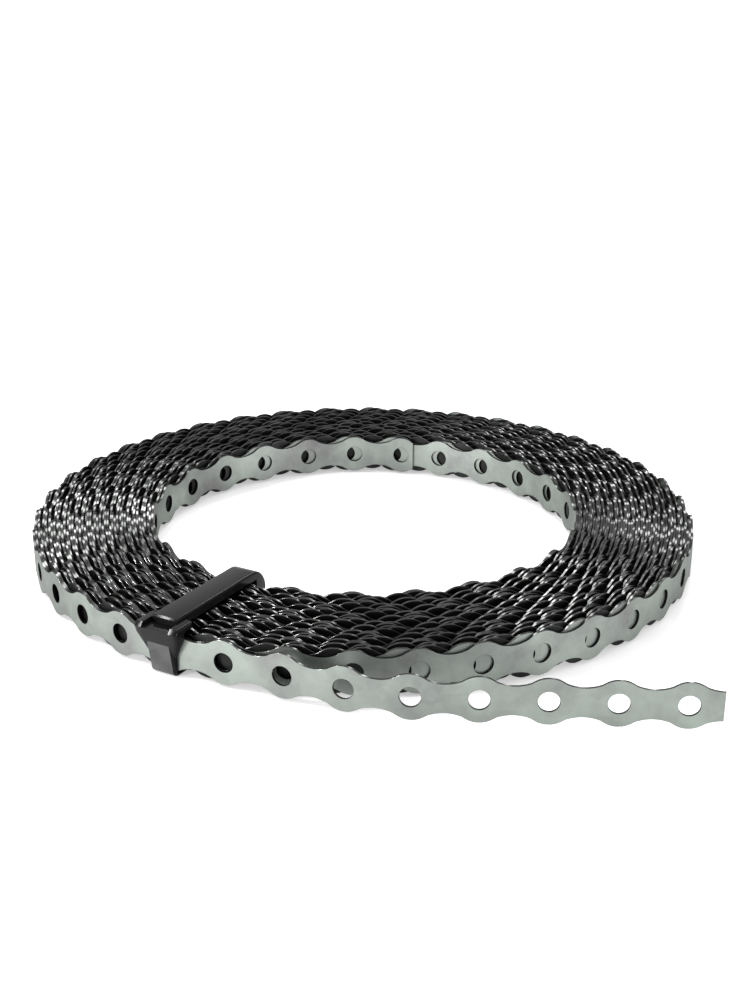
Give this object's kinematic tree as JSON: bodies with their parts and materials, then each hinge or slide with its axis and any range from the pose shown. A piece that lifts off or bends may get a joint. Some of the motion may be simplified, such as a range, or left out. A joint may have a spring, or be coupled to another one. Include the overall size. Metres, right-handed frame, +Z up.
{
  "type": "perforated steel strap roll",
  "caption": "Roll of wavy-edged perforated galvanised steel mounting strap, lying flat with a free end, held by a dark binding clip.",
  "frame": {"origin": "floor under the middle of the bounding box; the roll's axis stands 5.4 mm behind it in Y", "axes": "+Z up along the roll's axis, +X along the straight stretch of the free end towards its tip, -Y the side the free end lies on"},
  "size_m": [0.1945, 0.2056, 0.0154],
  "materials": {
    "galvanised_steel": "galvanised, satin, dark between the turns",
    "clip_black": "black, half gloss"
  },
  "bodies": {
    "root": {"strap": "galvanised_steel", "clip": "clip_black"}
  },
  "joints": []
}
